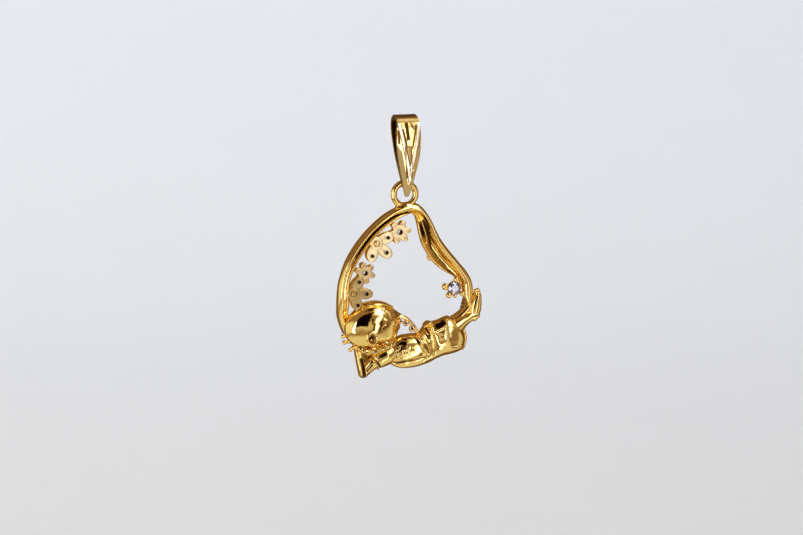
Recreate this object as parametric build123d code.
from build123d import *
import math
import os

os.makedirs("parts", exist_ok=True)

# Driving sizes, mm
BAIL_LENGTH = 8.65
BAIL_WIDTH = 2.85
BAIL_DEPTH = 2.7
BAIL_SHEET = 0.4
BAIL_TONGUE = 1.45
RING_BORE = 1.73
RING_WIRE = 0.67
DROP_HEIGHT = 18.6
RAIL_DEPTH = 1.35
PLATE_THICK = 1.0
FIGURE_DEPTH = 3.2
STONE_DIAMETER = 1.5
RUN_GAP = 0.06
SWING_ROOM = 0.2
STONE_GAP = 0.06

# The chain's seat in the bail is the origin; the ring's top wire hangs in the bail's lower bend
LOOP_Z = BAIL_SHEET - BAIL_LENGTH + BAIL_TONGUE
TIP_Z = BAIL_SHEET - BAIL_LENGTH
RING_MAJOR = (RING_BORE + RING_WIRE) / 2
RING_Z = LOOP_Z - RING_MAJOR
SOLDER = RING_WIRE * 0.91
APEX_Z = RING_Z - RING_MAJOR - RING_WIRE / 2 + SOLDER

# One thousandth of the drop's height, from the frame's apex to the elbow: the tables below are in it,
# x from the ring's middle, y from the ring's plane, z from the apex
K = DROP_HEIGHT / 1000.0

# Outer and inner edge of the frame (x, z, x, z), from behind the head over the apex to the wire's end
RAIL = [
    (-356.8, -730.3, -303.3, -695.5),
    (-391.7, -643.2, -324.1, -626.2),
    (-401.8, -571.4, -327.7, -571.9),
    (-403.0, -504.8, -334.8, -510.6),
    (-395.9, -446.3, -331.2, -460.5),
    (-380.4, -387.2, -318.1, -406.9),
    (-352.6, -314.3, -288.4, -342.8),
    (-313.4, -247.5, -252.9, -287.2),
    (-267.7, -186.8, -209.5, -229.3),
    (-214.8, -131.0, -162.6, -176.0),
    (-146.0, -73.0, -102.7, -129.6),
    (-77.8, -32.7, -46.4, -94.4),
    (-12.5, -9.2, 5.3, -71.5),
    (37.9, 0.0, 37.9, -62.8),
    (83.1, -9.9, 49.8, -68.9),
    (123.4, -51.0, 59.3, -84.2),
    (160.3, -109.1, 68.8, -117.7),
    (186.4, -162.7, 78.9, -167.1),
    (213.2, -210.6, 94.4, -228.2),
    (248.7, -260.0, 119.8, -278.3),
    (287.2, -306.2, 153.7, -331.2),
    (324.7, -351.1, 195.2, -371.7),
    (358.6, -390.8, 245.7, -406.9),
    (385.8, -430.7, 293.2, -434.2),
    (401.8, -467.3, 332.4, -472.2),
    (408.4, -509.7, 344.3, -510.5),
    (406.0, -549.6, 346.7, -544.8),
    (394.1, -584.4, 359.6, -578.4),
]

# Frame sections: place across the width, and depth as a share of the frame's depth
DOUBLE = [
    (0.0, 0.0), (0.05, -0.30), (0.16, -0.47), (0.30, -0.52), (0.44, -0.45), (0.55, -0.26), (0.63, -0.16),
    (0.72, -0.26), (0.82, -0.32), (0.93, -0.24), (1.0, 0.0), (0.90, 0.30), (0.5, 0.40), (0.1, 0.30),
]
LEAF = [
    (0.0, 0.0), (0.04, -0.30), (0.12, -0.47), (0.22, -0.52), (0.33, -0.44), (0.42, -0.22), (0.55, 0.02),
    (0.70, 0.05), (0.84, -0.06), (0.94, -0.16), (1.0, -0.02), (0.90, 0.22), (0.5, 0.38), (0.1, 0.30),
]
WIRE = [
    (0.0, 0.0), (0.06, -0.25), (0.20, -0.42), (0.38, -0.49), (0.55, -0.49), (0.68, -0.45), (0.80, -0.36),
    (0.88, -0.27), (0.94, -0.18), (0.98, -0.08), (1.0, 0.02), (0.88, 0.26), (0.5, 0.38), (0.12, 0.26),
]

# How far each frame section leans to the leaf and to the round wire
LEAN = [(0.0, 0.0)] * 12 + [
    (0.0, 0.4), (0.0, 0.7), (0.3, 0.4), (0.7, 0.1), (1.0, 0.0), (1.0, 0.0), (1.0, 0.0), (1.0, 0.0),
    (1.0, 0.0), (1.0, 0.0), (0.8, 0.2), (0.5, 0.5), (0.2, 0.8), (0.0, 1.0), (0.0, 1.0), (0.0, 1.0),
]

# Upper and lower edge of the trunk (x, z, x, z) with its half depth as a share of the figure's depth
TRUNK = [
    (-74.8, -782.3, -92.6, -918.4, 0.30),
    (-27.2, -754.8, -24.4, -943.1, 0.41),
    (26.0, -747.4, 44.0, -944.3, 0.45),
    (73.6, -743.2, 109.3, -931.7, 0.46),
    (115.2, -705.1, 150.8, -918.1, 0.46),
    (150.8, -686.8, 183.4, -902.5, 0.46),
    (201.3, -674.7, 227.9, -886.2, 0.46),
    (250.5, -655.7, 278.3, -877.5, 0.46),
    (296.3, -678.8, 319.9, -865.1, 0.42),
    (337.8, -726.2, 346.7, -848.0, 0.30),
    (356.2, -761.1, 359.6, -812.6, 0.14),
]

# Limbs: start (x, y, z), radius, end (x, y, z), radius, depth over width
LIMBS = [
    ("forearm", -268.4, 12.0, -826.8, 33.9, -251.4, 6.0, -959.2, 39.1, 1.25),
    ("upper_arm", -246.9, 3.0, -960.7, 39.1, -157.9, 0.0, -895.7, 42.2, 1.25),
    ("nape", -252.9, 0.0, -832.8, 36.7, -110.3, 0.0, -843.3, 48.0, 1.25),
    ("sleeve", -197.2, 0.0, -920.8, 49.7, -93.3, 0.0, -853.8, 61.7, 1.25),
    ("neck", -135.5, 0.0, -769.5, 51.2, -67.7, 0.0, -826.8, 57.2, 1.25),
    ("near_shin", 305.6, 0.0, -724.4, 49.7, 414.0, 0.0, -635.6, 34.6, 1.25),
    ("foot", 423.8, -7.5, -664.2, 30.9, 433.4, -7.5, -545.2, 24.1, 1.25),
    ("far_shin", 322.2, 12.0, -701.8, 30.1, 415.5, 6.0, -552.8, 21.4, 1.25),
    ("wire_foot", 367.9, 12.0, -573.8, 18.1, 356.0, 12.0, -652.1, 20.3, 1.0),
    ("shirt_fold", 129.5, -6.0, -698.6, 25.9, 135.5, -15.1, -724.4, 25.9, 1.25),
]

# Head, fringe, ear and nose: x, z, long and short radius, tilt in degrees,
# middle and half depth as shares of half the figure's depth
EGGS = [
    ("head", -191.2, -692.5, 160.3, 125.2, 15.0, 0.0, 1.06),
    ("fringe", -103.3, -584.5, 36.1, 15.8, -25.0, 0.0, 0.55),
    ("ear", -216.2, -758.4, 31.0, 25.4, 80.0, -0.80, 0.24),
    ("nose", -73.0, -632.6, 19.6, 15.1, 0.0, -0.12, 0.20),
]

# Finger tips behind the head, berries on the stem and beads on the hem: (x, y, z, radius)
HAND = (-308.6, 9.0, -762.2)
TIPS = [
    (-368.7, 9.0, -746.8, 11.9),
    (-363.8, 9.0, -782.9, 11.9),
    (-324.1, 12.0, -830.2, 11.9),
]
BERRIES = [
    (-31.9, -21.1, -665.7, 12.3),
    (-1.7, -21.1, -681.8, 15.8),
    (35.7, -21.1, -717.0, 16.9),
]
HEM = [
    (356.5, 0.0, -746.8, 11.1),
    (362.2, 0.0, -767.6, 11.1),
    (364.3, 0.0, -788.1, 11.1),
    (361.4, 0.0, -808.5, 11.1),
    (353.8, 0.0, -828.7, 11.1),
    (342.2, 0.0, -848.9, 11.1),
]

# The berry stem from the mouth to the chest: (x, y, z)
STEM = [
    (-91.4, -21.1, -652.0),
    (-49.7, -21.1, -645.5),
    (-8.1, -21.1, -659.2),
    (26.2, -21.1, -683.0),
    (53.6, -27.1, -714.8),
    (66.7, -42.2, -752.5),
    (69.2, -60.2, -796.6),
]
STEM_RADIUS = 9.0

# Ornaments along the left branch: root (x, z), tip (x, z), kind
ORNAMENTS = [
    (-343.2, -500.4, -196.5, -509.1, "palmette"),
    (-305.6, -366.7, -183.7, -408.7, "rosette"),
    (-200.2, -198.9, -87.3, -302.9, "palmette"),
    (-81.3, -105.2, 7.5, -213.2, "rosette"),
]

# The stone's middle, and its claws (x, z, radius) from there in shares of the stone's radius
STONE = (291.9, -18.8, -498.3)
CLAWS = [
    (-1.415, 0.276, 0.489),
    (-0.870, -0.978, 0.418),
    (0.030, -1.109, 0.280),
    (1.198, -0.859, 0.336),
    (0.250, 1.225, 0.392),
]

# Outline of the bail's leaves: share of its length from the top, share of its half width
FRONT_LEAF = [
    (0.0, 0.80), (0.10, 0.90), (0.22, 0.98), (0.34, 1.0), (0.44, 0.94), (0.52, 0.85),
    (0.67, 0.68), (0.76, 0.58), (0.845, 0.45), (0.915, 0.31), (0.965, 0.20),
]
BACK_LEAF = [
    (0.0, 0.80), (0.10, 0.86), (0.21, 0.83), (0.30, 0.78), (0.42, 0.66), (0.54, 0.52), (0.68, 0.34),
]

# Bright cuts of the front leaf's right half: share of its half width, share of the way down to the ring
CUTS = [
    [(0.10, 0.06), (0.34, 0.20), (0.16, 0.34), (0.05, 0.92)],
    [(0.78, 0.14), (0.92, 0.24), (0.36, 0.80), (0.16, 0.90), (0.30, 0.64), (0.62, 0.34)],
]


def place(x, y, z):
    """A point of the tables in mm."""
    return Vector(x * K, y * K, APEX_Z + z * K)


def ring_wire(centre, along, half_u, half_y):
    """A closed smooth outline round a centre, across the direction it runs along."""
    u = Vector(along.Z, 0, -along.X)
    if u.length < 0.2:
        u = Vector(1, 0, 0)
    u = u.normalized()
    v = along.normalized().cross(u)
    points = []
    for i in range(12):
        a = 2 * math.pi * i / 12
        points.append(centre + u * (half_u * math.cos(a)) + v * (half_y * math.sin(a)))
    return Wire([Edge.make_spline(points, periodic=True)])


def capsule(start, r0, end, r1, flat=1.0):
    """A limb with rounded ends: r is the radius in the pendant's plane, flat scales its depth."""
    axis = end - start
    length = axis.length
    along = axis.normalized()
    wires = []
    for share in (0.97, 0.82, 0.5):
        wires.append(ring_wire(start - along * (r0 * share), along, r0 * math.sqrt(1 - share * share),
                               r0 * flat * math.sqrt(1 - share * share)))
    for share in (0.0, 0.35, 0.7, 1.0):
        r = r0 + (r1 - r0) * share
        wires.append(ring_wire(start + along * (length * share), along, r, r * flat))
    for share in (0.5, 0.82, 0.97):
        wires.append(ring_wire(end + along * (r1 * share), along, r1 * math.sqrt(1 - share * share),
                               r1 * flat * math.sqrt(1 - share * share)))
    return Solid.make_loft(wires)


def egg(x, z, long_r, short_r, tilt, y, half_y):
    """A body with three different half sizes, its long axis tilted in the pendant's plane."""
    a = math.radians(tilt)
    along = Vector(math.cos(a), 0, math.sin(a))
    centre = place(x, 0, z) + Vector(0, y, 0)
    wires = []
    for share in (-0.985, -0.9, -0.7, -0.4, 0.0, 0.4, 0.7, 0.9, 0.985):
        r = math.sqrt(1 - share * share)
        wires.append(ring_wire(centre + along * (long_r * K * share), along, short_r * K * r, half_y * r))
    return Solid.make_loft(wires)


def leaf_prism(shares, y0, y1):
    """The bail's outline seen from the front, as a prism between two depths."""
    half = BAIL_WIDTH / 2
    high = BAIL_SHEET * 1.5
    right = [Vector(half * w, y0, BAIL_SHEET - BAIL_LENGTH * s) for s, w in shares]
    left = [Vector(-p.X, p.Y, p.Z) for p in reversed(right)]
    top_right = Vector(right[0].X, y0, high)
    top_left = Vector(-right[0].X, y0, high)
    end = right[-1]
    face = Face(Wire([
        Edge.make_line(top_left, top_right),
        Edge.make_line(top_right, right[0]),
        Edge.make_spline(right),
        Edge.make_three_point_arc(end, Vector(0, y0, end.Z - end.X), left[0]),
        Edge.make_spline(left),
        Edge.make_line(left[-1], top_left),
    ]))
    return extrude(face, amount=y1 - y0, dir=(0, 1, 0))


def make_bail():
    """Strap folded over the chain, its front leaf long and pointed, its back leaf turned in under the ring."""
    top = BAIL_DEPTH / 2
    arch = BAIL_SHEET - top
    side = RING_WIRE / 2 + SWING_ROOM
    outside = side + BAIL_SHEET
    cradle = LOOP_Z + SWING_ROOM - RUN_GAP
    floor = LOOP_Z - RING_WIRE / 2 - RUN_GAP
    tip_front = -side - BAIL_SHEET * 0.55
    tip_back = tip_front + BAIL_SHEET * 0.8
    corners = [
        (-top, arch),
        (-outside, LOOP_Z),
        (tip_front, TIP_Z),
        (tip_back, TIP_Z),
        (-side * 0.5, floor - BAIL_SHEET),
        (side * 0.35, floor - BAIL_SHEET * 0.8),
        (outside, LOOP_Z + BAIL_SHEET * 0.25),
        (top, arch),
    ]
    edges = [Edge.make_line((0, *a), (0, *b)) for a, b in zip(corners[:-1], corners[1:])]
    edges.append(Edge.make_three_point_arc((0, top, arch), (0, 0, BAIL_SHEET), (0, -top, arch)))
    strap = extrude(Face(Wire(edges)), amount=BAIL_WIDTH, dir=(1, 0, 0), both=True)
    inner_top = top - BAIL_SHEET
    inner = Face(Wire([
        Edge.make_three_point_arc((0, inner_top, arch), (0, 0, 0), (0, -inner_top, arch)),
        Edge.make_line((0, -inner_top, arch), (0, -side, cradle)),
        Edge.make_three_point_arc((0, -side, cradle), (0, 0, cradle - side), (0, side, cradle)),
        Edge.make_line((0, side, cradle), (0, inner_top, arch)),
    ]))
    strap -= extrude(inner, amount=BAIL_WIDTH, dir=(1, 0, 0), both=True)

    # The back leaf narrows to pass through the ring
    neck = RING_BORE * 0.155 / (BAIL_WIDTH / 2)
    seat_share = (BAIL_SHEET - floor) / BAIL_LENGTH
    back = BACK_LEAF + [(seat_share - 0.06, neck), (seat_share + 0.08, neck * 0.85)]
    split = -side * 0.85
    bail = (strap & leaf_prism(FRONT_LEAF, -BAIL_DEPTH, split)) + (strap & leaf_prism(back, split, BAIL_DEPTH))

    # Bright cuts on the front leaf's sloping face
    slope = Vector(0, top - outside, LOOP_Z - arch).normalized()
    face_plane = Plane(origin=(0, -top, arch), x_dir=(1, 0, 0), z_dir=slope.cross(Vector(1, 0, 0)))
    down = arch - LOOP_Z
    for side_x in (1, -1):
        for cut in CUTS:
            points = [(side_x * BAIL_WIDTH / 2 * a, face_plane.y_dir.Z * -down * b) for a, b in cut]
            bail -= extrude(face_plane * Polygon(*points, align=None), amount=BAIL_SHEET * 0.28, both=True)
    return bail


def make_frame():
    """The frame's two branches in one run, from behind the head over the apex to the wire's end."""
    wires = []
    for (x0, z0, x1, z1), (leaf, wire) in zip(RAIL, LEAN):
        points = []
        for a, b, c in zip(DOUBLE, LEAF, WIRE):
            rest = 1 - leaf - wire
            t = a[0] * rest + b[0] * leaf + c[0] * wire
            y = a[1] * rest + b[1] * leaf + c[1] * wire
            points.append(place(x0 + (x1 - x0) * t, 0, z0 + (z1 - z0) * t) + Vector(0, y * RAIL_DEPTH, 0))
        wires.append(Wire.make_polygon(points, close=True))
    return Solid.make_loft(wires)


def make_ornament(x0, z0, x1, z1, kind):
    """A flat pierced ornament, its root on the frame's inner rib."""
    root = place(x0, 0, z0)
    tip = place(x1, 0, z1)
    reach = (tip - root).length
    plane = Plane(origin=root + Vector(0, -PLATE_THICK / 2, 0), x_dir=tip - root, z_dir=(0, 1, 0))
    if kind == "palmette":
        shape = Pos(reach * 0.22, 0) * Circle(reach * 0.26)
        for turn in (-58, 0, 58):
            shape += Pos(reach * 0.14, 0) * Rot(0, 0, turn) * Pos(reach * 0.42, 0) * Ellipse(reach * 0.44, reach * 0.18)
    else:
        shape = Pos(reach * 0.52, 0) * Circle(reach * 0.36)
        for i in range(6):
            shape += Pos(reach * 0.52, 0) * Rot(0, 0, 60 * i) * Pos(reach * 0.30, 0) * Circle(reach * 0.18)
        shape -= Pos(reach * 0.52, 0) * Circle(reach * 0.11)
    return extrude(plane * shape, amount=PLATE_THICK)


def make_stone():
    """Round cut stone with its table to the front: table, mains, stars, halves and a pointed back."""
    r = STONE_DIAMETER / 2
    belt = r * 0.06
    body = extrude(Circle(r), amount=r * 1.2, both=True)
    crown = r * 0.33
    body &= Pos(0, 0, crown + belt - r) * Box(4 * r, 4 * r, 2 * r)

    def cut(angle, slope, reach, height, up):
        a = math.radians(angle)
        s = math.radians(slope)
        sign = 1 if up else -1
        normal = Vector(math.sin(s) * math.cos(a), math.sin(s) * math.sin(a), sign * math.cos(s))
        at = Vector(reach * math.cos(a), reach * math.sin(a), height)
        return Plane(origin=at, z_dir=normal)

    planes = []
    for i in range(8):
        planes.append(cut(45 * i, 34.5, r, belt, True))
        planes.append(cut(45 * i + 22.5, 22.0, r * 0.70, belt + crown * 0.72, True))
        planes.append(cut(45 * i, 40.8, r, -belt, False))
    for i in range(16):
        planes.append(cut(22.5 * i + 11.25, 41.0, r * 0.99, belt, True))
        planes.append(cut(22.5 * i + 11.25, 43.0, r * 0.99, -belt, False))
    for plane in planes:
        body = split(body, plane, keep=Keep.BOTTOM)
    turned = Plane(origin=place(*STONE), x_dir=(1, 0, 0), z_dir=(0, -1, 0))
    return turned * body


def make_setting():
    """Tapered cup with claws and the room that the stone takes in it."""
    r = STONE_DIAMETER / 2
    at = place(*STONE)
    axis = Plane(origin=at, x_dir=(1, 0, 0), z_dir=(0, -1, 0))
    cup = axis * Pos(0, 0, -r * 0.52) * Cone(r * 0.62, r * 1.08, r * 0.8)
    cup -= axis * Pos(0, 0, -r * 0.8) * Cylinder(r * 0.34, r * 1.2)
    for x, z, radius in CLAWS:
        foot = at + Vector(x * r * 0.55, r * 0.72, z * r * 0.55)
        head = at + Vector(x * r, -r * 0.10, z * r)
        cup += capsule(foot, radius * r * 0.7, head, radius * r)
    bar_end = place(370.0, 0, -468.6) + Vector(0, 0.25 * RAIL_DEPTH, 0)
    cup += capsule(at + Vector(0.55 * r, 0.8 * r, 0), r * 0.3, bar_end, r * 0.3)
    seat_r = r + STONE_GAP
    half = seat_r * 0.07
    seat = axis * Pos(0, 0, half + seat_r * 0.17) * Cone(seat_r, seat_r * 0.58, seat_r * 0.34)
    seat += axis * Cylinder(seat_r, 2 * half)
    seat += axis * Pos(0, 0, -half - seat_r * 0.46) * Cone(seat_r * 0.02, seat_r, seat_r * 0.92)
    return cup, seat


def make_figure():
    """The lying child: head, trunk, limbs, and the berry stem from its mouth."""
    half = FIGURE_DEPTH / 2
    wires = []
    for x0, z0, x1, z1, share in TRUNK:
        upper, lower = place(x0, 0, z0), place(x1, 0, z1)
        across = (lower - upper).normalized()
        along = Vector(-across.Z, 0, across.X)
        wires.append(ring_wire((upper + lower) * 0.5, along, (lower - upper).length / 2, share * FIGURE_DEPTH))
    figure = Solid.make_loft(wires)
    for name, x, z, long_r, short_r, tilt, middle, deep in EGGS:
        figure += egg(x, z, long_r, short_r, tilt, middle * half, deep * half)
    for name, xa, ya, za, ra, xb, yb, zb, rb, flat in LIMBS:
        figure += capsule(place(xa, ya, za), ra * K, place(xb, yb, zb), rb * K, flat)
    for x, y, z, radius in TIPS:
        figure += capsule(place(*HAND), radius * K, place(x, y, z), radius * K)
    for a, b in zip(STEM[:-1], STEM[1:]):
        figure += capsule(place(*a), STEM_RADIUS * K, place(*b), STEM_RADIUS * K)
    for x, y, z, radius in BERRIES + HEM:
        figure += Pos(place(x, y, z)) * Sphere(radius * K)
    return figure


def make_body():
    """Ring, frame, ornaments, setting and figure, soldered and cast into one piece of gold."""
    body = make_frame()
    for row in ORNAMENTS:
        body += make_ornament(*row)
    body += Pos(0, 0, RING_Z) * Rot(90, 0, 0) * Torus(RING_MAJOR, RING_WIRE / 2)
    cup, seat = make_setting()
    body += cup
    body += make_figure()
    body -= seat
    return body


def single(shape):
    solids = shape.solids()
    return solids[0] if len(solids) == 1 else Compound(children=list(solids))


bail = make_bail()
pendant_body = make_body()
stone = make_stone()

export_step(single(bail), "parts/bail.step")
export_step(single(pendant_body), "parts/pendant_body.step")
export_step(single(stone), "parts/stone.step")
